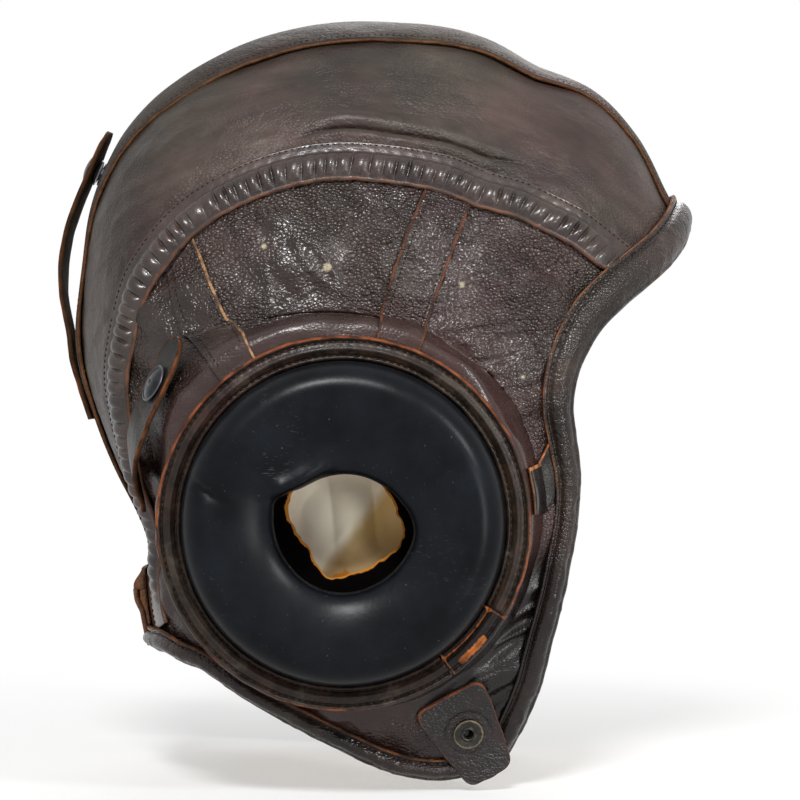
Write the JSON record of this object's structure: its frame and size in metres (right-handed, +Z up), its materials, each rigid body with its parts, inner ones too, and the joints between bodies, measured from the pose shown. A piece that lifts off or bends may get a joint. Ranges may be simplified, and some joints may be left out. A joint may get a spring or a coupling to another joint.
{
  "type": "flying helmet",
  "caption": "Close-fitting leather flying helmet with puckered arch seams, drawn-up ear drums with rubber cups, a chamois lining, bound edges and snap-fastened strap tabs.",
  "frame": {"origin": "midway between the ears, where the axis of the two ear cups crosses the middle plane of the helmet", "axes": "+Z up, +X towards the face, -Y towards the wearer's right ear"},
  "size_m": [0.2199, 0.2236, 0.2581],
  "materials": {
    "crown_leather": "matt grained brown leather",
    "side_leather": "glossier grained dark brown leather",
    "trim_leather": "dark brown leather with raw orange-brown edges",
    "chamois": "soft matt chamois",
    "rubber": "satin blue-black moulded rubber",
    "gunmetal": "dull gunmetal",
    "brass": "dull darkened brass"
  },
  "bodies": {
    "shell": {"arch_band_left": "trim_leather", "arch_band_right": "trim_leather", "back_strap_stud": "gunmetal", "cheek_patch_left": "trim_leather", "cheek_patch_right": "trim_leather", "crown_panel_left": "crown_leather", "crown_panel_right": "crown_leather", "crown_strip": "crown_leather", "ear_ring_left": "trim_leather", "ear_ring_right": "trim_leather", "face_band": "trim_leather", "front_tape_left": "trim_leather", "front_tape_right": "trim_leather", "goggle_stud_left": "gunmetal", "goggle_stud_right": "gunmetal", "lining": "chamois", "neck_band": "trim_leather", "rear_tape_left": "trim_leather", "rear_tape_right": "trim_leather", "ring_patch_left": "trim_leather", "ring_patch_right": "trim_leather", "rubber_cup_left": "rubber", "rubber_cup_right": "rubber", "side_panel_left": "side_leather", "side_panel_right": "side_leather"},
    "goggle_tab_right": {"goggle_tab_right": "trim_leather", "goggle_tab_cap_right": "gunmetal"},
    "goggle_tab_left": {"goggle_tab_left": "trim_leather", "goggle_tab_cap_left": "gunmetal"},
    "back_strap": {"back_strap": "trim_leather", "back_strap_cap": "gunmetal"},
    "chin_tab_right": {"chin_tab_right": "trim_leather", "mask_snap_right": "brass"},
    "chin_tab_left": {"chin_tab_left": "trim_leather", "mask_snap_left": "brass"},
    "nape_tab": {"nape_tab": "trim_leather"}
  },
  "joints": [
    {"name": "goggle_tab_right_hinge", "type": "hinge", "parent": "shell", "child": "goggle_tab_right", "pos_m": [-0.06909, -0.057, 0.00785], "axis": [0.243, -0.6398, -0.7291], "range_deg": [0, 120]},
    {"name": "goggle_tab_left_hinge", "type": "hinge", "parent": "shell", "child": "goggle_tab_left", "pos_m": [-0.06909, 0.057, 0.00785], "axis": [-0.243, -0.6398, 0.7291], "range_deg": [0, 120]},
    {"name": "back_strap_hinge", "type": "hinge", "parent": "shell", "child": "back_strap", "pos_m": [-0.09001, 0, 0.03257], "axis": [0, -1, 0], "range_deg": [0, 150]},
    {"name": "chin_tab_right_hinge", "type": "hinge", "parent": "shell", "child": "chin_tab_right", "pos_m": [0.03352, -0.07589, -0.05732], "axis": [-0.8797, -0.0102, -0.4754], "range_deg": [0, 95]},
    {"name": "chin_tab_left_hinge", "type": "hinge", "parent": "shell", "child": "chin_tab_left", "pos_m": [0.03352, 0.07589, -0.05732], "axis": [0.8797, -0.0102, 0.4754], "range_deg": [0, 95]},
    {"name": "nape_tab_hinge", "type": "hinge", "parent": "shell", "child": "nape_tab", "pos_m": [-0.074, 0, -0.02603], "axis": [0, 1, 0], "range_deg": [0, 120]}
  ]
}
